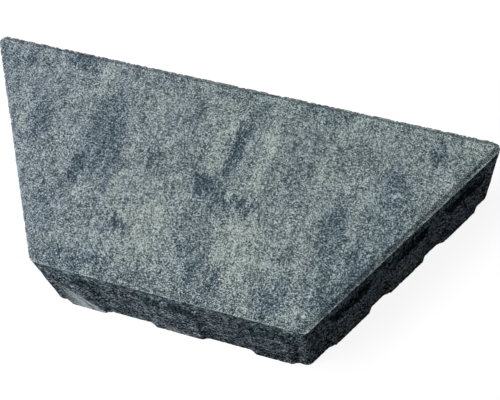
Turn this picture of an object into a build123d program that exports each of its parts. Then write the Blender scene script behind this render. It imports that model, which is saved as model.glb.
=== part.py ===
from build123d import *
import os
from math import cos, radians, sin, tan

# Block, in millimetres. The upper face is half of a regular hexagon, cut from corner to corner.
thickness = 60.0
short_side = 153.8           # front side, between its two sharp corners
depth = 131.4                # front side to long back side
leg_angle = 60.0             # between the back side and each slanting side, in degrees
wide_corner_radius = 5.0     # the two front corners
sharp_corner_radius = 4.0    # the two back corners
bevel_height = 2.0           # down the sides
bevel_width = 3.0            # across the upper face

# Spacer lugs. Two lugs that meet across a joint keep it open by twice their depth.
lug_depth = 1.8
lug_flank_run = 4.0          # along the side, from the foot of a lug to its flat outer face
lug_shoulder_height = 40.0   # top of the flat outer face
lug_top_height = 48.0        # where the sloping top meets the side
lug_root = 4.0               # how far a lug is bedded in the block

front_middle_lug_width = 27.5
front_end_lug_width = 20.5
front_end_lug_from_corner = 20.4
leg_lug_width = 26.2
leg_lug_pitch = 44.0
leg_middle_lug_from_front = 76.4
leg_lug_count = 3
back_lug_width = 20.5
back_lug_pitch = 56.5
back_lug_count = 5

long_side = short_side + 2 * depth / tan(radians(leg_angle))
front_y = -depth / 2
back_y = depth / 2


def block():
    """Half-hexagon block with rounded upright corners and a bevelled upper face."""
    front = [(-short_side / 2, front_y), (short_side / 2, front_y)]
    back = [(long_side / 2, back_y), (-long_side / 2, back_y)]
    outline = make_face(Polyline(*front, *back, close=True))
    outline = fillet(outline.vertices().group_by(Axis.Y)[0], wide_corner_radius)
    outline = fillet(outline.vertices().group_by(Axis.Y)[-1], sharp_corner_radius)
    body = extrude(outline, thickness)
    top = body.faces().sort_by(Axis.Z)[-1]
    return chamfer(top.edges(), bevel_width, bevel_height, reference=top)


def lug(width):
    """One lug at the origin, standing out along -Y, with sloping flanks and a sloping top."""
    half_face = width / 2
    half_foot = half_face + lug_flank_run
    right = [(half_foot, lug_root), (half_foot, 0), (half_face, -lug_depth)]
    left = [(-x, y) for x, y in reversed(right)]
    plan = extrude(make_face(Polyline(*right, *left, close=True)), lug_top_height)
    profile = Plane.YZ * make_face(Polyline(
        (lug_root, 0),
        (-lug_depth, 0),
        (-lug_depth, lug_shoulder_height),
        (0, lug_top_height),
        (lug_root, lug_top_height),
        close=True,
    ))
    return plan & extrude(profile, half_foot, both=True)


def row(count, pitch):
    """Distances of evenly spaced lugs from the middle of their row."""
    return [(i - (count - 1) / 2) * pitch for i in range(count)]


def front_lugs():
    """A wide lug in the middle of the short side and a narrower one near each corner."""
    end_x = short_side / 2 - front_end_lug_from_corner
    lugs = [Pos(0, front_y) * lug(front_middle_lug_width)]
    for x in (-end_x, end_x):
        lugs.append(Pos(x, front_y) * lug(front_end_lug_width))
    return lugs


def leg_lugs():
    """Equal lugs along both slanting sides, measured from the front corners."""
    lugs = []
    for step in row(leg_lug_count, leg_lug_pitch):
        along = leg_middle_lug_from_front + step
        x = short_side / 2 + along * cos(radians(leg_angle))
        y = front_y + along * sin(radians(leg_angle))
        lugs.append(Pos(x, y) * Rot(0, 0, leg_angle) * lug(leg_lug_width))
        lugs.append(Pos(-x, y) * Rot(0, 0, -leg_angle) * lug(leg_lug_width))
    return lugs


def back_lugs():
    """Equal lugs along the long side."""
    turned = Rot(0, 0, 180) * lug(back_lug_width)
    return [Pos(x, back_y) * turned for x in row(back_lug_count, back_lug_pitch)]


paver = block().fuse(*front_lugs(), *leg_lugs(), *back_lugs()).clean()

os.makedirs("parts", exist_ok=True)
export_step(paver, "parts/paver.step")
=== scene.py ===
from math import radians

import bmesh
import bpy
from bpy.props import FloatProperty, FloatVectorProperty, PointerProperty
from bpy.types import Operator, Panel, PropertyGroup
from mathutils import Matrix, Vector, noise


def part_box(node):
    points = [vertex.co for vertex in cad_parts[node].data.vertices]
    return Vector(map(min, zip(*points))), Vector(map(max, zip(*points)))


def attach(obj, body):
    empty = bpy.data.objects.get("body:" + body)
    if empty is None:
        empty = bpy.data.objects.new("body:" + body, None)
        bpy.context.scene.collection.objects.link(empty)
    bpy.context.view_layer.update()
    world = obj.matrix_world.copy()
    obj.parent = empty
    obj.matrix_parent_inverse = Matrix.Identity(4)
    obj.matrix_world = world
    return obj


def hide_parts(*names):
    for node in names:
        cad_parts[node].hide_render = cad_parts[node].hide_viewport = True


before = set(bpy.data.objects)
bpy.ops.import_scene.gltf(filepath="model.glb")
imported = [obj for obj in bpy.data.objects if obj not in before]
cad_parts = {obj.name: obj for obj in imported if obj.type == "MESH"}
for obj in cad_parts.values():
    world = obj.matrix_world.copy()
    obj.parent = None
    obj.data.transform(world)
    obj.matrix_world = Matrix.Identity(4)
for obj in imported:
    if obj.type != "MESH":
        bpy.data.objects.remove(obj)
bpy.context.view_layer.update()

bl_info = {
    "name": "Half-hexagon paver",
    "version": (1, 0, 0),
    "blender": (4, 5, 0),
    "location": "3D View > Sidebar > Paver",
    "description": "Dresses a half-hexagon concrete paver and sets up its studio",
    "category": "Object",
}

MM = 0.001
SOLID_LOW, SOLID_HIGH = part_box("paver")

# Zones of the solid, kept on its faces while they are cut into small cells.
TOP, BEVEL, WALL, LUG_TOP, BASE = range(5)
FACE_ZONES = (TOP, BEVEL)

# Material slots of the piece.
FACE_SLOT, CORE_SLOT = range(2)

# Clouds on the upper face: name, place, half width and half length in millimetres, and how much
# darker or paler in stops.
CLOUDS = (
    ("left streak", -64, 20, 12, 24, -0.60),
    ("left streak, dark end", -72, -4, 4, 14, -0.90),
    ("left streak, inner end", -54, 3, 5, 17, -0.65),
    ("middle streak", 12, 25, 4, 19, -1.10),
    ("middle streak, back end", 18, 50, 5, 13, -0.40),
    ("middle blob", 2, 1, 8, 8, -1.25),
    ("tail of the blob", 22, -7, 17, 4, -0.80),
    ("thin back line", -17, 30, 4, 21, -0.36),
    ("small back spot", -9, 14, 4, 5, -0.50),
    ("back right shade", 48, 20, 7, 26, -0.25),
    ("right streak, inner line", 72, -3, 4, 15, -0.65),
    ("right streak, middle line", 79, -10, 4, 17, -0.75),
    ("right streak, outer line", 90, -20, 5, 13, -0.60),
    ("right streak, front end", 76, -30, 6, 14, -0.55),
    ("right edge shade", 94, -30, 9, 15, -0.70),
    ("right corner shade", 82, -46, 9, 10, -0.70),
    ("right middle shade", 104, 4, 16, 26, -0.38),
    ("front middle shade", 3, -22, 14, 12, -0.25),
    ("right streak, back end", 100, 25, 6, 17, -0.70),
    ("back right spot", 119, 49, 8, 6, -0.60),
    ("front middle streak", 10, -48, 6, 14, -0.60),
    ("front right patch", 54, -54, 10, 10, -0.65),
    ("front edge, left", -52, -59, 25, 7, -0.55),
    ("front edge, inner left", -14, -61, 14, 5, -0.35),
    ("front edge, middle", 22, -59, 6, 7, -0.60),
    ("left spot", -37, -33, 8, 4, -1.05),
    ("middle spot", 1, -35, 9, 4, -0.65),
    ("inner spot", -32, 9, 6, 6, -0.70),
    ("small left spot", -38, -14, 4, 4, -0.55),
    ("far left streak", -104, 18, 6, 16, -0.50),
    ("far left line", -112, 35, 4, 12, -0.35),
    ("left edge patch", -82, -33, 9, 14, -0.35),
    ("back left edge", -131, 52, 12, 8, -0.42),
    ("back edge, left of the middle", -92, 60, 13, 6, -0.65),
    ("back edge, inner left", -38, 61, 10, 4, -0.40),
    ("back edge, middle", 6, 62, 11, 3, -0.50),
    ("back edge, right", 54, 61, 20, 4, -0.50),
    ("pale back middle", 1, 35, 6, 22, 0.45),
    ("pale back right", 29, 24, 6, 24, 0.42),
    ("pale right of it", 66, 34, 10, 19, 0.22),
    ("pale far right", 92, 50, 9, 10, 0.12),
    ("pale back left", -44, 44, 9, 12, 0.28),
    ("pale back corner", -75, 50, 6, 10, 0.45),
    ("pale middle", -27, -24, 17, 18, 0.38),
    ("pale front right", 31, -29, 15, 20, 0.45),
    ("pale left middle", -44, -12, 8, 10, 0.38),
    ("pale front left", -24, -44, 9, 10, 0.30),
    ("pale far left", -115, 22, 3, 14, 0.40),
    ("pale right end", 136, 56, 10, 7, 0.30),
)

# Places where the upper face is coarser or smoother: name, place, half width and half length in
# millimetres, and how much its grain gains or loses.
GRAIN_PATCHES = (
    ("coarse right end", 100, 2, 20, 34, 0.16),
    ("coarse left", -84, -12, 26, 34, 0.09),
    ("coarse front", 0, -60, 80, 14, 0.10),
    ("coarse back left", -100, 54, 50, 10, 0.14),
    ("smooth back right", 45, 36, 26, 18, -0.14),
    ("smooth back middle", -20, 46, 22, 14, -0.10),
)

# Single pale grains of the upper face: place and radius in millimetres, then their height on the
# block, their half height and how much paler they are in stops.
PALE_GRAINS = (
    (102.0, 19.6, 1.7),
    (103.6, 21.4, 1.2),
    (-7.2, -15.3, 0.9),
    (44.5, -10.7, 0.9),
    (68.6, -56.0, 1.3),
    (73.4, -57.4, 1.0),
)
PALE_GRAIN_LEVEL = 60.0
PALE_GRAIN_HALF_HEIGHT = 3.0
PALE_GRAIN_STOPS = 2.4

# Broad patches on the front side: name, centre and half size in millimetres, and stops. The dark right
# part is painted shade; the pale middle is a paler tone.
WALL_SHADE_AND_TONE = (
    ("dark right part", (45.0, -66.5, 25.0), (26.0, 5.0, 45.0), -0.4),
    ("pale middle", (0.0, -66.5, 25.0), (26.0, 5.0, 45.0), 0.2),
)

# The right side is rougher from here on, and painted shade darkens it, in millimetres.
RIGHT_END = (72.0, 86.0)

# Lime bloom on the left front lug, in millimetres. It lies below a line that falls to the right,
# and each pair runs from where the bloom starts to where it is full.
BLOOM_LINE_SLOPE = 1.67
BLOOM_LINE_ACROSS = -64.0
BLOOM_LINE_LEVELS = (35.0, 30.0)
BLOOM_LEFT = (-72.0, -55.0)
BLOOM_RIGHT = (-43.5, -46.0)
BLOOM_OUTER = (-65.6, -66.4)
BLOOM_STREAK_LEAN = radians(59)
BLOOM_STREAK_SIZE = (14.0, 14.0, 2.2)
BLOOM_SPOTS = (
    ("over the sheet", (-58.0, -67.0, 37.5), (1.7, 4.0, 2.0), 0.75),
    ("on the middle lug", (-3.0, -67.5, 4.0), (5.0, 4.0, 6.0), 0.35),
)

# Lamps: name, width, place and aim, in metres.
LAMPS = (
    ("key", 0.8, (-0.68, -0.25, 1.6), (0.0, 0.0, 0.05)),
    ("side", 0.6, (-0.87, -0.83, 0.44), (0.0, 0.0, 0.03)),
    ("back", 0.6, (0.2, 1.3, 0.35), (0.0, 0.0, 0.03)),
)
FLOOR_HALF_WIDTH = 6.0

# Camera at the photograph's viewing angle: place, lens and sensor in millimetres.
CAMERA_PLACE = (133.603, -199.763, 529.248)
CAMERA_FORWARD = (-0.203349, 0.380599, -0.902105)
CAMERA_UP = (-0.229775, 0.877075, 0.421834)
CAMERA_LENS = 69.65
CAMERA_SENSOR = 36.0


class PaverRelief(PropertyGroup):
    """Sizes of the rough surface."""
    cell: FloatProperty(
        name="Cell", description="Width of the surface cells on the upper face and round the sides",
        default=0.85 * MM, min=0.5 * MM, subtype="DISTANCE", unit="LENGTH",
    )
    row: FloatProperty(
        name="Row", description="Height of the surface cells on the sides",
        default=1.1 * MM, min=0.5 * MM, subtype="DISTANCE", unit="LENGTH",
    )
    base_cell: FloatProperty(
        name="Underside cell", description="Width of the surface cells on the underside",
        default=4.0 * MM, min=1.0 * MM, subtype="DISTANCE", unit="LENGTH",
    )
    face_depth: FloatProperty(
        name="Face relief", description="Depth of the grain on the upper face",
        default=0.35 * MM, min=0.0, subtype="DISTANCE", unit="LENGTH",
    )
    side_depth: FloatProperty(
        name="Side relief", description="Depth of the open grain on the sides",
        default=0.8 * MM, min=0.0, subtype="DISTANCE", unit="LENGTH",
    )
    chip_depth: FloatProperty(
        name="Chips", description="Depth of the crumbled places along the edges",
        default=0.8 * MM, min=0.0, subtype="DISTANCE", unit="LENGTH",
    )
    bevel_row: FloatProperty(
        name="Bevel row", description="Height of the surface cells on the bevel",
        default=0.4 * MM, min=0.2 * MM, subtype="DISTANCE", unit="LENGTH",
    )
    lip: FloatProperty(
        name="Lip", description="Width of the flat lip at the foot of the bevel",
        default=0.8 * MM, min=0.0, max=2.0 * MM, subtype="DISTANCE", unit="LENGTH",
    )


class PaverColours(PropertyGroup):
    """Colours of the concrete."""
    deep: FloatVectorProperty(
        name="Deep", description="Darkest grains and pores of the upper face",
        default=(0.026, 0.039, 0.044), min=0.0, max=1.0, subtype="COLOR",
    )
    slate: FloatVectorProperty(
        name="Slate", description="Dark grains of the upper face",
        default=(0.075, 0.103, 0.113), min=0.0, max=1.0, subtype="COLOR",
    )
    middle: FloatVectorProperty(
        name="Middle grey", description="Common tone of the upper face",
        default=(0.161, 0.205, 0.217), min=0.0, max=1.0, subtype="COLOR",
    )
    pale: FloatVectorProperty(
        name="Pale grey", description="Pale grains of the upper face",
        default=(0.295, 0.357, 0.367), min=0.0, max=1.0, subtype="COLOR",
    )
    white: FloatVectorProperty(
        name="White", description="Palest grains of the upper face",
        default=(0.585, 0.666, 0.673), min=0.0, max=1.0, subtype="COLOR",
    )
    blue_tint: FloatVectorProperty(
        name="Blue tint", description="Tint of the dark clouds on the upper face",
        default=(0.865, 0.92, 1.0), min=0.0, max=1.0, subtype="COLOR",
    )
    green_tint: FloatVectorProperty(
        name="Green tint", description="Tint of the pale clouds on the upper face",
        default=(1.0, 0.985, 0.93), min=0.0, max=1.0, subtype="COLOR",
    )
    left_tint: FloatVectorProperty(
        name="Left tint", description="Bluish tint towards the left of the upper face",
        default=(0.94, 0.94, 1.0), min=0.0, max=1.0, subtype="COLOR",
    )
    right_tint: FloatVectorProperty(
        name="Right tint", description="Greenish tint towards the right of the upper face",
        default=(0.98, 1.0, 1.0), min=0.0, max=1.0, subtype="COLOR",
    )
    core: FloatVectorProperty(
        name="Core", description="Common tone of the sides and the underside",
        default=(0.091, 0.118, 0.136), min=0.0, max=1.0, subtype="COLOR",
    )
    warm_tint: FloatVectorProperty(
        name="Warm tint", description="Tint of some patches of the sides",
        default=(1.0, 0.93, 0.935), min=0.0, max=1.0, subtype="COLOR",
    )
    skin_tint: FloatVectorProperty(
        name="Skin tint", description="Tint of the dense skin on the upper part of the sides",
        default=(0.87, 1.0, 1.0), min=0.0, max=1.0, subtype="COLOR",
    )
    bloom: FloatVectorProperty(
        name="Lime bloom", description="Pale lime bloom low on one front lug",
        default=(0.78, 0.89, 0.96), min=0.0, max=1.0, subtype="COLOR",
    )


class PaverStage(PropertyGroup):
    """Floor and light."""
    floor: FloatVectorProperty(
        name="Floor", description="Floor as the camera sees it",
        default=(0.97, 0.97, 0.97), min=0.0, max=1.0, subtype="COLOR",
    )
    floor_bounce: FloatVectorProperty(
        name="Floor bounce", description="Floor as it lights the object",
        default=(0.115, 0.115, 0.115), min=0.0, max=1.0, subtype="COLOR",
    )
    floor_glow: FloatProperty(
        name="Floor glow", description="Share of the floor's white that no shadow darkens",
        default=0.9, min=0.0, max=1.0, subtype="FACTOR",
    )
    key_power: FloatProperty(
        name="Key light", description="Power of the large soft light overhead",
        default=26.3, min=0.0, unit="POWER",
    )
    side_power: FloatProperty(
        name="Side light", description="Power of the weak light from the front left",
        default=5.8, min=0.0, unit="POWER",
    )
    back_power: FloatProperty(
        name="Back light", description="Power of the weak light on the long back side",
        default=1.5, min=0.0, unit="POWER",
    )
    fill: FloatProperty(
        name="Fill", description="Strength of the even light from all round",
        default=0.08, min=0.0,
    )


# Mesh of the block

def faces_of(geometry):
    """The faces in a mixed list of mesh elements."""
    return [item for item in geometry if isinstance(item, bmesh.types.BMFace)]


def slice_faces(bm, faces, direction, levels):
    """Cuts faces by planes across a direction, the middle level first, and returns the pieces."""
    if not faces or not levels:
        return faces
    middle = len(levels) // 2
    level = levels[middle]
    edges = {edge for face in faces for edge in face.edges}
    verts = {vert for face in faces for vert in face.verts}
    cut = bmesh.ops.bisect_plane(
        bm, geom=[*verts, *edges, *faces], dist=1e-7, plane_co=direction * level, plane_no=direction,
    )
    pieces = faces_of(cut["geom"])
    below = [face for face in pieces if face.calc_center_median().dot(direction) < level]
    above = [face for face in pieces if face.calc_center_median().dot(direction) >= level]
    pieces = slice_faces(bm, below, direction, levels[:middle])
    return pieces + slice_faces(bm, above, direction, levels[middle + 1:])


def levels_between(low, high, step):
    """Evenly spaced levels strictly between two ends, about one step apart."""
    count = max(1, round((high - low) / step))
    return [low + (high - low) * i / count for i in range(1, count)]


def zone_of(normal):
    """Which zone of the solid a face with this normal belongs to."""
    if normal.z < -0.9:
        return BASE
    if normal.z > 0.9:
        return TOP
    if normal.z > 0.4:
        return BEVEL
    return LUG_TOP if normal.z > 0.1 else WALL


def solid_copy():
    """A merged copy of the solid's mesh with whole faces, marked with their zones."""
    bm = bmesh.new()
    bm.from_mesh(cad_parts["paver"].data)
    bmesh.ops.remove_doubles(bm, verts=bm.verts, dist=1e-6)
    bmesh.ops.dissolve_limit(bm, angle_limit=radians(0.5), verts=bm.verts, edges=bm.edges)
    bm.normal_update()
    zone = bm.faces.layers.int.new("zone")
    for face in bm.faces:
        face[zone] = zone_of(face.normal)
        face.material_index = FACE_SLOT if face[zone] in FACE_ZONES else CORE_SLOT
        face.smooth = True
    return bm, zone


def cut_into_cells(bm, zone, relief):
    """Cuts every face into small cells: a grid on the upper face, rows and columns on the sides."""
    along_x, along_y, up = Vector((1, 0, 0)), Vector((0, 1, 0)), Vector((0, 0, 1))
    columns = levels_between(SOLID_LOW.x, SOLID_HIGH.x, relief.cell)
    ranks = levels_between(SOLID_LOW.y, SOLID_HIGH.y, relief.cell)
    rows = levels_between(SOLID_LOW.z, SOLID_HIGH.z, relief.row)
    slanting = bm.faces.layers.int.new("slanting")
    for face in bm.faces:
        flat = Vector((face.normal.x, face.normal.y, 0))
        face[slanting] = int(flat.length > 0.3 and abs(flat.normalized().y) < 0.86)

    base = [face for face in bm.faces if face[zone] == BASE]
    base_columns = levels_between(SOLID_LOW.x, SOLID_HIGH.x, relief.base_cell)
    base_ranks = levels_between(SOLID_LOW.y, SOLID_HIGH.y, relief.base_cell)
    slice_faces(bm, slice_faces(bm, base, along_y, base_ranks), along_x, base_columns)

    top = [face for face in bm.faces if face[zone] == TOP]
    bevel = [face for face in bm.faces if face[zone] == BEVEL]
    sides = [face for face in bm.faces if face[zone] in (WALL, LUG_TOP)]
    bevel_foot = min(vert.co.z for face in bevel for vert in face.verts)
    bevel_rows = levels_between(bevel_foot, SOLID_HIGH.z, relief.bevel_row)
    strips = slice_faces(bm, sides, up, rows) + slice_faces(bm, bevel, up, bevel_rows)
    straight = [face for face in strips if not face[slanting]]
    turned = [face for face in strips if face[slanting]]
    pieces = slice_faces(bm, top + turned, along_y, ranks)
    slice_faces(bm, straight + [face for face in pieces if face[zone] == TOP], along_x, columns)


def mark_surfaces(bm, zone):
    """Marks on the vertices what lies on an edge, the bevel's rim or a sloping lug top."""
    marks = {name: bm.verts.layers.float.new(name) for name in ("arris", "pressed", "rim", "lug_top")}
    sharp = radians(20)
    for edge in bm.edges:
        kinds = {face[zone] for face in edge.link_faces}
        for vert in edge.verts:
            if edge.calc_face_angle(0.0) > sharp:
                vert[marks["arris"]] = 1.0
            # The rim mark, left off the back edge, carries a painted highlight along the bevel's outer
            # edge.
            if kinds == {BEVEL, WALL} and vert.co.y < 0.9 * SOLID_HIGH.y:
                vert[marks["rim"]] = 1.0
    for vert in bm.verts:
        kinds = [face[zone] for face in vert.link_faces]
        vert[marks["lug_top"]] = kinds.count(LUG_TOP) / len(kinds)
    return marks


def press_lip(bm, zone, marks, relief):
    """Presses the bevel down behind its foot, which stays as a flat lip, and marks what is pressed."""
    bevel = {vert for face in bm.faces if face[zone] == BEVEL for vert in face.verts}
    upper = {vert for face in bm.faces if face[zone] == TOP for vert in face.verts}
    foot = min(vert.co.z for vert in bevel)
    height = SOLID_HIGH.z - foot
    width = max(vert.co.y for vert in bevel) - max(vert.co.y for vert in upper)
    for vert in bevel:
        inward = (vert.co.z - foot) / height * width
        vert.co.z = foot + height * max(0.0, inward - relief.lip) / (width - relief.lip)
        # The pressed mark later carries painted shade on the bevel.
        vert[marks["pressed"]] = float(inward > relief.lip)


def spread(bm, layer, rounds):
    """Softens a vertex value by averaging it with its neighbours."""
    for _ in range(rounds):
        means = []
        for vert in bm.verts:
            near = [edge.other_vert(vert)[layer] for edge in vert.link_edges]
            means.append((vert[layer] + sum(near) / len(near)) / 2)
        for vert, mean in zip(bm.verts, means):
            vert[layer] = mean


def wave(point, size, seed):
    """Smooth noise from 0 to 1 with features of about the given size."""
    return 0.5 + 0.5 * noise.noise(point / size + Vector((seed, seed * 1.7, seed * 2.3)))


def face_grain(point, depth):
    """Depth of the upper face below the solid: fine grain and a few open pores."""
    grain = 0.55 * wave(point, 1.5 * MM, 1) + 0.45 * wave(point, 3.2 * MM, 2)
    pore = max(0.0, wave(point, 2.6 * MM, 3) - 0.72) * 3.0
    swell = wave(point, 28 * MM, 4)
    return depth * (0.9 * grain + pore + 0.25 * swell - 0.15)


def side_grain(point, depth):
    """Depth of a side below the solid: coarse grain, pores and drag marks from the mould."""
    grain = 0.5 * wave(point, 2.1 * MM, 5) + 0.5 * wave(point, 4.6 * MM, 6)
    pore = max(0.0, wave(point, 3.6 * MM, 7) - 0.66) * 3.0
    drawn = Vector((point.x, point.y, point.z * 0.15))
    drag = wave(drawn, 1.8 * MM, 8)
    return depth * (0.7 * grain + pore + 0.3 * drag - 0.3)


def crumbling(point, normal):
    """How far an edge has crumbled here, most at the upper back edge and next at the upper left."""
    worn = 0.3
    if point.z > SOLID_HIGH.z / 2:
        if normal.y > 0.5:
            worn = 1.0
        elif normal.x < -0.5:
            worn = 0.6
    chips = 0.5 * wave(point, 4.5 * MM, 9) + wave(point, 1.0 * MM, 10) - 0.82
    return 8.0 * worn * max(-0.05, chips)


def roughen(bm, zone, marks, relief):
    """Sinks every vertex below the solid's surface by the grain of its zone, and crumbles the edges."""
    bm.normal_update()
    depth_mark = bm.verts.layers.float.new("sunk")
    sunk = []
    for vert in bm.verts:
        kinds = [face[zone] for face in vert.link_faces]
        upper = sum(kind in FACE_ZONES for kind in kinds) / len(kinds)
        depth = upper * face_grain(vert.co, relief.face_depth)
        depth += (1 - upper) * side_grain(vert.co, relief.side_depth)
        # The sunk mark later carries painted shade in the hollows of the sides.
        vert[depth_mark] = depth / relief.side_depth
        depth *= 1 - min(1.0, 1.2 * vert[marks["arris"]])
        depth += vert[marks["arris"]] * crumbling(vert.co, vert.normal) * relief.chip_depth
        sunk.append(vert.co - vert.normal * depth)
    for vert, place in zip(bm.verts, sunk):
        vert.co = place


def keep_inside(bm):
    """Holds the rough surface within the solid's own box."""
    for vert in bm.verts:
        for axis in range(3):
            vert.co[axis] = min(max(vert.co[axis], SOLID_LOW[axis]), SOLID_HIGH[axis])


def rough_block(relief):
    """The block's mesh: the solid cut into cells, its edges eased and its surface roughened."""
    bm, zone = solid_copy()
    cut_into_cells(bm, zone, relief)
    ngons = [face for face in bm.faces if len(face.verts) > 4]
    bmesh.ops.triangulate(bm, faces=ngons)
    marks = mark_surfaces(bm, zone)
    press_lip(bm, zone, marks, relief)
    above = [vert for vert in bm.verts if all(face[zone] != BASE for face in vert.link_faces)]
    bmesh.ops.smooth_vert(
        bm, verts=above, factor=0.25, use_axis_x=True, use_axis_y=True, use_axis_z=True,
    )
    spread(bm, marks["arris"], 1)
    spread(bm, marks["lug_top"], 4)
    roughen(bm, zone, marks, relief)
    keep_inside(bm)
    mesh = bpy.data.meshes.new("paver_stone")
    bm.to_mesh(mesh)
    bm.free()
    return mesh


# Shader nodes

def node(tree, kind, inputs=None, **options):
    """Adds a node, sets its options, and fills or links its inputs."""
    item = tree.nodes.new(kind)
    for name, value in options.items():
        setattr(item, name, value)
    for socket, value in (inputs or {}).items():
        if isinstance(value, bpy.types.NodeSocket):
            tree.links.new(value, item.inputs[socket])
        else:
            item.inputs[socket].default_value = value
    return item


def maths(tree, operation, first, second=0.0, clamp=False):
    """Two numbers added, multiplied or put together otherwise."""
    values = {0: first, 1: second}
    return node(tree, "ShaderNodeMath", values, operation=operation, use_clamp=clamp).outputs[0]


def vectors(tree, operation, first, second):
    """Two vectors added, multiplied or put together otherwise."""
    return node(tree, "ShaderNodeVectorMath", {0: first, 1: second}, operation=operation).outputs[0]


def blend(tree, factor, first, second, kind="MIX"):
    """Two colours mixed by a factor."""
    values = {0: factor, 6: first, 7: second}
    return node(tree, "ShaderNodeMix", values, data_type="RGBA", blend_type=kind).outputs[2]


def ramp(tree, value, start, end, low=0.0, high=1.0, soft=True):
    """A number carried from one range to another, held at the ends."""
    kind = "SMOOTHSTEP" if soft else "LINEAR"
    values = {"Value": value, "From Min": start, "From Max": end, "To Min": low, "To Max": high}
    return node(tree, "ShaderNodeMapRange", values, interpolation_type=kind).outputs[0]


def noise_value(tree, place, scale, detail=2.0, roughness=0.5):
    """Smooth noise from 0 to 1."""
    values = {"Vector": place, "Scale": scale, "Detail": detail, "Roughness": roughness}
    return node(tree, "ShaderNodeTexNoise", values).outputs[0]


def attribute(tree, name):
    """A value marked on the vertices of the piece."""
    return node(tree, "ShaderNodeAttribute", attribute_name=name).outputs["Fac"]


def split(tree, place):
    """The three numbers of a place."""
    return node(tree, "ShaderNodeSeparateXYZ", {0: place}).outputs


def colour(values):
    """A colour property as the four numbers of a socket."""
    return (*values, 1.0)


def new_group(name, inputs, outputs):
    """An empty shader group with its sockets, and its two ends."""
    group = bpy.data.node_groups.new(name, "ShaderNodeTree")
    for label, kind in inputs:
        group.interface.new_socket(label, in_out="INPUT", socket_type=kind)
    for label, kind in outputs:
        group.interface.new_socket(label, in_out="OUTPUT", socket_type=kind)
    return group, node(group, "NodeGroupInput").outputs, node(group, "NodeGroupOutput").inputs


def sand_grains():
    """Group: packed grains of one size, each with its own tone, and the height of their crowns."""
    group, given, result = new_group(
        "sand grains",
        [("Place", "NodeSocketVector"), ("Grains per mm", "NodeSocketFloat")],
        [("Tone", "NodeSocketFloat"), ("Height", "NodeSocketFloat")],
    )
    values = {"Vector": given["Place"], "Scale": given["Grains per mm"]}
    cells = node(group, "ShaderNodeTexVoronoi", values, feature="F1")
    tone = node(group, "ShaderNodeSeparateColor", {0: cells.outputs["Color"]}).outputs[0]
    group.links.new(tone, result["Tone"])
    group.links.new(ramp(group, cells.outputs["Distance"], 0.05, 0.75, 1.0, 0.0), result["Height"])
    return group


def soft_cloud():
    """Group: one soft oval patch."""
    group, given, result = new_group(
        "soft cloud",
        [
            ("Place", "NodeSocketVector"),
            ("Centre", "NodeSocketVector"),
            ("Half size", "NodeSocketVector"),
            ("Strength", "NodeSocketFloat"),
        ],
        [("Mask", "NodeSocketFloat")],
    )
    away = vectors(group, "SUBTRACT", given["Place"], given["Centre"])
    away = vectors(group, "DIVIDE", away, given["Half size"])
    reach = node(group, "ShaderNodeVectorMath", {0: away}, operation="LENGTH").outputs["Value"]
    mask = maths(group, "MULTIPLY", ramp(group, reach, 1.35, 0.45), given["Strength"])
    group.links.new(mask, result["Mask"])
    return group


def place_in_mm(tree):
    """Object coordinates in millimetres."""
    position = node(tree, "ShaderNodeTexCoord").outputs["Object"]
    return vectors(tree, "MULTIPLY", position, (1000.0, 1000.0, 1000.0))


def push(tree, place, scale, detail, reach):
    """A vector that changes with the place like noise, as long as reach at most."""
    values = {"Vector": place, "Scale": scale, "Detail": detail}
    spread_out = node(tree, "ShaderNodeTexNoise", values).outputs["Color"]
    return vectors(tree, "MULTIPLY", vectors(tree, "SUBTRACT", spread_out, (0.5, 0.5, 0.5)), reach)


def shifted(tree, place, scale, reach):
    """A place pushed about by noise, so that what is drawn there has ragged borders."""
    return vectors(tree, "ADD", place, push(tree, place, scale, 3.0, (reach, reach, reach)))


def grains_of(tree, place, sand, per_mm):
    """Tone and height of packed grains of one size."""
    values = {"Place": place, "Grains per mm": per_mm}
    return node(tree, "ShaderNodeGroup", values, node_tree=sand).outputs


def new_material(name):
    """An empty node material with its shader."""
    material = bpy.data.materials.new(name)
    material.use_nodes = True
    tree = material.node_tree
    tree.nodes.clear()
    shader = node(tree, "ShaderNodeBsdfPrincipled")
    tree.links.new(shader.outputs[0], node(tree, "ShaderNodeOutputMaterial").inputs["Surface"])
    return material, tree, shader


def clouds(tree, place, cloud, patches):
    """The strongest of several clouds at each place."""
    total = None
    for centre, half_size, strength in patches:
        patch = node(tree, "ShaderNodeGroup", {"Place": place}, node_tree=cloud)
        patch.inputs["Centre"].default_value = centre
        patch.inputs["Half size"].default_value = half_size
        patch.inputs["Strength"].default_value = strength
        mask = patch.outputs["Mask"]
        total = mask if total is None else maths(tree, "MAXIMUM", total, mask)
    return total


def weighed(tree, *parts):
    """The sum of values, each times its weight."""
    total = None
    for value, weight in parts:
        share = maths(tree, "MULTIPLY", value, weight)
        total = share if total is None else maths(tree, "ADD", total, share)
    return total


def centred(tree, value):
    """A value from 0 to 1 carried to one from -0.5 to 0.5."""
    return maths(tree, "SUBTRACT", value, 0.5)


def toned(tree, stops, tones):
    """The colour of a brightness given in stops, from tones set at some of them."""
    low, high = tones[0][0], tones[-1][0]
    item = node(tree, "ShaderNodeValToRGB", {0: ramp(tree, stops, low, high, soft=False)})
    elements = item.color_ramp.elements
    for stop, _ in tones[1:-1]:
        elements.new((stop - low) / (high - low))
    for element, (_, tone) in zip(elements, tones):
        element.color = colour(tone)
    return item.outputs[0]


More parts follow.
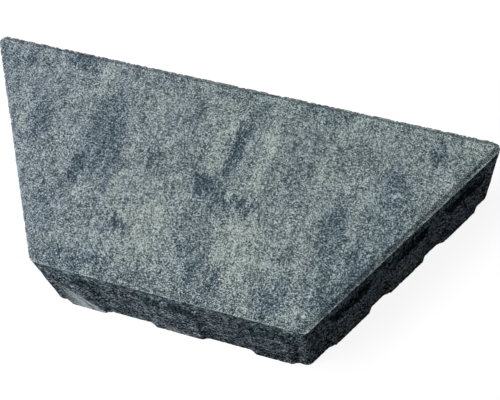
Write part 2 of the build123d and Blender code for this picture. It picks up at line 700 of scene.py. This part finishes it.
def patch_gain(tree, place, cloud, table):
    """How much the patches of a table add to the upper face or take from it, with drawn-out ends."""
    ragged = shifted(tree, shifted(tree, place, 0.06, 6.0), 0.4, 5.0)
    lines = vectors(tree, "MULTIPLY", place, (0.35, 0.05, 0.0))
    drawn_out = vectors(tree, "ADD", ragged, push(tree, lines, 1.0, 2.0, (6.0, 30.0, 0.0)))
    flat = vectors(tree, "MULTIPLY", drawn_out, (1.0, 1.0, 0.0))
    patches = [((x, y, 0.0), (wide, long, 1.0), gain) for _, x, y, wide, long, gain in table]
    loss = clouds(tree, flat, cloud, [(at, size, -gain) for at, size, gain in patches if gain < 0])
    gain = clouds(tree, flat, cloud, [patch for patch in patches if patch[2] > 0])
    return maths(tree, "SUBTRACT", gain, loss)


def finish_shader(tree, shader, tone, coarse, fine, strength, depth, roughness):
    """Gives a shader its colour, the bump of its grains and a matt surface."""
    height = weighed(tree, (coarse["Height"], 0.6), (fine["Height"], 0.4))
    values = {"Strength": strength, "Distance": depth, "Height": height}
    tree.links.new(tone, shader.inputs["Base Color"])
    tree.links.new(node(tree, "ShaderNodeBump", values).outputs[0], shader.inputs["Normal"])
    shader.inputs["Roughness"].default_value = roughness
    shader.inputs["Specular IOR Level"].default_value = 0.0


def face_material(colours, sand, cloud):
    """Fine-grained face concrete in pale green grey and blue grey with slate pigment."""
    material, tree, shader = new_material("face_concrete")
    place = place_in_mm(tree)
    bent = shifted(tree, place, 1.2, 0.5)
    coarse = grains_of(tree, bent, sand, 1.6)
    fine = grains_of(tree, bent, sand, 2.75)
    mottle = noise_value(tree, place, 0.16, 4.0, 0.7)
    drawn = noise_value(tree, vectors(tree, "MULTIPLY", place, (0.15, 0.04, 0.0)), 1.0, 4.0, 0.6)
    streaks = noise_value(tree, vectors(tree, "MULTIPLY", bent, (0.5, 0.12, 0.0)), 1.0, 2.0, 0.5)

    uneven = ramp(tree, mottle, 0.35, 0.62, 0.75, 1.8)
    cloudy = maths(tree, "MULTIPLY", patch_gain(tree, place, cloud, CLOUDS), uneven)
    pale_grains = [
        ((x, y, PALE_GRAIN_LEVEL), (radius, radius, PALE_GRAIN_HALF_HEIGHT), PALE_GRAIN_STOPS)
        for x, y, radius in PALE_GRAINS
    ]
    coarser = maths(tree, "ADD", patch_gain(tree, place, cloud, GRAIN_PATCHES), 0.95)
    grain = weighed(tree, (centred(tree, coarse["Tone"]), 2.3), (centred(tree, fine["Tone"]), 4.7))
    sparkles = ramp(tree, fine["Tone"], 0.975, 0.985)
    dark_grains = ramp(tree, coarse["Tone"], 0.12, 0.04)
    stops = maths(tree, "ADD", cloudy, weighed(
        tree,
        (centred(tree, mottle), 2.9),
        (centred(tree, drawn), -2.3),
        (centred(tree, streaks), 2.2),
        (grain, coarser),
        (sparkles, 0.9),
        (dark_grains, -0.9),
        (clouds(tree, place, cloud, pale_grains), 1.0),
        # Painted highlight along the bevel's rim.
        (attribute(tree, "rim"), 1.2),
        # Painted shade on the pressed bevel behind the lip.
        (attribute(tree, "pressed"), -0.25),
    ))
    tone = toned(tree, stops, (
        (-2.4, colours.deep),
        (-1.0, colours.slate),
        (0.0, colours.middle),
        (0.8, colours.pale),
        (1.7, colours.white),
    ))
    hazy = maths(tree, "ADD", cloudy, maths(tree, "MULTIPLY", centred(tree, mottle), 1.6))
    tint = toned(tree, hazy, (
        (-0.9, colours.blue_tint),
        (0.0, (1.0, 1.0, 1.0)),
        (0.5, colours.green_tint),
    ))
    tone = blend(tree, 1.0, tone, tint, "MULTIPLY")
    across = split(tree, shifted(tree, place, 0.03, 60.0))[0]
    tone = blend(tree, ramp(tree, across, 20.0, -120.0), tone, colour(colours.left_tint), "MULTIPLY")
    tone = blend(tree, ramp(tree, across, -40.0, 90.0), tone, colour(colours.right_tint), "MULTIPLY")
    finish_shader(tree, shader, tone, coarse, fine, 0.8, 0.35 * MM, 0.9)
    return material


def bloom_mask(tree, place, cloud, tone):
    """Streaky lime bloom on the left front lug, a spot over it and a trace on the next lug."""
    ragged = shifted(tree, shifted(tree, place, 0.1, 4.0), 0.7, 2.5)
    across, out, level = split(tree, ragged)
    height = maths(tree, "ADD", level, maths(tree, "MULTIPLY", across, BLOOM_LINE_SLOPE))
    line = [edge + BLOOM_LINE_ACROSS * BLOOM_LINE_SLOPE for edge in BLOOM_LINE_LEVELS]
    below = ramp(tree, height, *line)
    left = ramp(tree, across, *BLOOM_LEFT)
    right = ramp(tree, across, *BLOOM_RIGHT)
    outer = ramp(tree, out, *BLOOM_OUTER)
    sheet = maths(tree, "MULTIPLY", below, left)
    sheet = maths(tree, "MULTIPLY", sheet, maths(tree, "MULTIPLY", right, outer))
    spots = clouds(tree, ragged, cloud, [spot[1:] for spot in BLOOM_SPOTS])
    values = {"Vector": place, "Rotation": (0.0, BLOOM_STREAK_LEAN, 0.0), "Scale": BLOOM_STREAK_SIZE}
    slanted = node(tree, "ShaderNodeMapping", values, vector_type="TEXTURE").outputs[0]
    streaky = ramp(tree, noise_value(tree, slanted, 1.0, 3.0, 0.6), 0.38, 0.58, 0.25, 1.2)
    mask = maths(tree, "MAXIMUM", maths(tree, "MULTIPLY", sheet, streaky), spots)
    broken = maths(tree, "MULTIPLY", centred(tree, tone), ramp(tree, mask, 0.0, 0.3, 0.0, 0.4))
    return maths(tree, "ADD", mask, broken, clamp=True)


def core_material(colours, sand, cloud):
    """Coarse core concrete: dense skin under the upper edge, dark lug tops, lime bloom on one lug."""
    material, tree, shader = new_material("core_concrete")
    place = place_in_mm(tree)
    bent = shifted(tree, place, 0.9, 0.6)
    coarse = grains_of(tree, bent, sand, 0.7)
    fine = grains_of(tree, bent, sand, 1.45)
    mottle = noise_value(tree, bent, 0.12, 4.0, 0.8)

    level = split(tree, shifted(tree, place, 0.15, 6.0))[2]
    skin = ramp(tree, level, 46.0, 51.0)
    foot = ramp(tree, level, 26.0, 13.0)
    across = split(tree, place)[0]
    right_end = ramp(tree, across, *RIGHT_END)
    patchy = ramp(tree, noise_value(tree, place, 0.14, 3.0, 0.6), 0.38, 0.56, 0.25, 1.0)
    patchy = maths(tree, "MULTIPLY", patchy, ramp(tree, across, -68.0, -52.0, 0.3, 1.0))
    patchy = maths(tree, "MAXIMUM", patchy, maths(tree, "MULTIPLY", right_end, 0.6))
    bars = maths(tree, "MULTIPLY", attribute(tree, "lug_top"), patchy)
    smooth = maths(tree, "MAXIMUM", bars, maths(tree, "MULTIPLY", skin, 0.5))
    rough = ramp(tree, right_end, 0.0, 1.0, 1.0, 2.4, soft=False)
    open_grain = ramp(tree, smooth, 0.0, 0.9, rough, 0.6)
    # Painted shade in the open pores: the darkest coarse cells are darkened.
    pores = ramp(tree, coarse["Tone"], 0.26, 0.14)
    grain = weighed(
        tree,
        (centred(tree, coarse["Tone"]), 1.9),
        (centred(tree, fine["Tone"]), 5.5),
        (pores, -1.1),
    )
    # Painted shade on the right part of the front side, and a paler middle.
    wall_shade_and_tone = [
        (clouds(tree, place, cloud, [(centre, half_size, 1.0)]), gain)
        for _, centre, half_size, gain in WALL_SHADE_AND_TONE
    ]
    stops = weighed(
        tree,
        (grain, open_grain),
        (centred(tree, mottle), 6.5),
        (bars, -1.2),
        (skin, 0.35),
        (foot, -0.35),
        # Painted shade on the right side.
        (right_end, -0.5),
        *wall_shade_and_tone,
        # Painted shade in the deeper hollows.
        (ramp(tree, attribute(tree, "sunk"), 0.25, 0.9), -1.2),
        # A weak painted highlight just below the rim on the sides.
        (attribute(tree, "rim"), 0.3),
    )
    tones = [(stop, [part * 2.0 ** stop for part in colours.core]) for stop in range(-5, 4)]
    tone = toned(tree, stops, tones)
    warm = ramp(tree, noise_value(tree, place, 0.07, 4.0, 0.6), 0.42, 0.6)
    tone = blend(tree, warm, tone, colour(colours.warm_tint), "MULTIPLY")
    tone = blend(tree, smooth, tone, colour(colours.skin_tint), "MULTIPLY")
    tone = blend(tree, bloom_mask(tree, place, cloud, fine["Tone"]), tone, colour(colours.bloom))
    finish_shader(tree, shader, tone, coarse, fine, 0.9, 0.6 * MM, 0.92)
    return material


# Stage

def seen_directly(tree):
    """One for what the camera sees, also in mirrors or through glass, and zero for other light."""
    path = node(tree, "ShaderNodeLightPath").outputs
    seen = maths(tree, "MAXIMUM", path["Is Camera Ray"], path["Is Glossy Ray"])
    return maths(tree, "MAXIMUM", seen, path["Is Transmission Ray"])


def floor_material(stage):
    """Pale floor that bounces less light than it shows, so that the sides keep their shade."""
    material, tree, shader = new_material("studio_floor")
    seen = seen_directly(tree)
    lit = [part * (1.05 - stage.floor_glow) for part in stage.floor]
    tone = blend(tree, seen, colour(stage.floor_bounce), colour(lit))
    glow = maths(tree, "MULTIPLY", seen, stage.floor_glow)
    tree.links.new(tone, shader.inputs["Base Color"])
    tree.links.new(glow, shader.inputs["Emission Strength"])
    shader.inputs["Emission Color"].default_value = (1.0, 1.0, 1.0, 1.0)
    shader.inputs["Roughness"].default_value = 1.0
    shader.inputs["Specular IOR Level"].default_value = 0.0
    return material


def add_floor(stage):
    """A wide level floor under the paver."""
    bm = bmesh.new()
    bmesh.ops.create_grid(bm, x_segments=1, y_segments=1, size=FLOOR_HALF_WIDTH)
    mesh = bpy.data.meshes.new("studio_floor")
    bm.to_mesh(mesh)
    bm.free()
    mesh.materials.append(floor_material(stage))
    floor = bpy.data.objects.new("studio_floor", mesh)
    bpy.context.collection.objects.link(floor)


def add_lamp(name, power, size, place, aim):
    """A square soft light that points at a place."""
    lamp = bpy.data.lights.new(name, "AREA")
    lamp.energy = power
    lamp.size = size
    item = bpy.data.objects.new(name, lamp)
    item.location = place
    item.rotation_euler = (Vector(aim) - Vector(place)).to_track_quat("-Z", "Y").to_euler()
    bpy.context.collection.objects.link(item)


def add_world(stage):
    """Even light from all round, and white where the camera sees past the floor."""
    world = bpy.data.worlds.new("studio")
    world.use_nodes = True
    tree = world.node_tree
    tree.nodes.clear()
    seen = seen_directly(tree)
    strength = ramp(tree, seen, 0.0, 1.0, stage.fill, 1.0, soft=False)
    back = node(tree, "ShaderNodeBackground", {"Color": (1.0, 1.0, 1.0, 1.0), "Strength": strength})
    tree.links.new(back.outputs[0], node(tree, "ShaderNodeOutputWorld").inputs["Surface"])
    bpy.context.scene.world = world


def add_camera():
    """The camera at the photograph's viewing angle."""
    eye = Vector(CAMERA_PLACE) * MM
    forward = Vector(CAMERA_FORWARD).normalized()
    right = forward.cross(Vector(CAMERA_UP).normalized()).normalized()
    up = right.cross(forward)
    camera = bpy.data.cameras.new("camera")
    camera.lens = CAMERA_LENS
    camera.sensor_width = CAMERA_SENSOR
    item = bpy.data.objects.new("camera", camera)
    turn = Matrix((right, up, -forward)).transposed()
    item.matrix_world = Matrix.Translation(eye) @ turn.to_4x4()
    bpy.context.collection.objects.link(item)
    bpy.context.scene.camera = item


class PAVER_OT_stone(Operator):
    """Make the rough concrete block"""
    bl_idname = "paver.stone"
    bl_label = "Stone"

    def execute(self, context):
        scene = context.scene
        mesh = rough_block(scene.paver_relief)
        if len(mesh.polygons) == 0:
            raise RuntimeError("The block has no faces")
        sand = sand_grains()
        cloud = soft_cloud()
        mesh.materials.append(face_material(scene.paver_colours, sand, cloud))
        mesh.materials.append(core_material(scene.paver_colours, sand, cloud))
        stone = bpy.data.objects.new("paver_stone", mesh)
        context.collection.objects.link(stone)
        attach(stone, "root")
        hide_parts("paver")
        return {"FINISHED"}


class PAVER_OT_stage(Operator):
    """Set up the floor, the lights and the camera"""
    bl_idname = "paver.stage"
    bl_label = "Stage"

    def execute(self, context):
        stage = context.scene.paver_stage
        add_floor(stage)
        powers = {"key": stage.key_power, "side": stage.side_power, "back": stage.back_power}
        for name, width, place, aim in LAMPS:
            add_lamp(name, powers[name], width, place, aim)
        add_world(stage)
        add_camera()
        context.scene.view_settings.view_transform = "Standard"
        return {"FINISHED"}


class PAVER_PT_sidebar(Panel):
    """Steps and settings of the paver"""
    bl_idname = "PAVER_PT_sidebar"
    bl_label = "Paver"
    bl_space_type = "VIEW_3D"
    bl_region_type = "UI"
    bl_category = "Paver"

    def draw(self, context):
        layout = self.layout
        scene = context.scene
        for settings in (scene.paver_relief, scene.paver_colours, scene.paver_stage):
            box = layout.box()
            for name in settings.__annotations__:
                box.prop(settings, name)
        layout.operator(PAVER_OT_stone.bl_idname)
        layout.operator(PAVER_OT_stage.bl_idname)


GROUPS = {"paver_relief": PaverRelief, "paver_colours": PaverColours, "paver_stage": PaverStage}
CLASSES = (*GROUPS.values(), PAVER_OT_stone, PAVER_OT_stage, PAVER_PT_sidebar)


def register():
    for item in CLASSES:
        bpy.utils.register_class(item)
    for name, group in GROUPS.items():
        setattr(bpy.types.Scene, name, PointerProperty(type=group))


def unregister():
    for name in GROUPS:
        delattr(bpy.types.Scene, name)
    for item in reversed(CLASSES):
        bpy.utils.unregister_class(item)


def main():
    register()
    bpy.ops.paver.stone()
    bpy.ops.paver.stage()


if __name__ == "__main__":
    main()
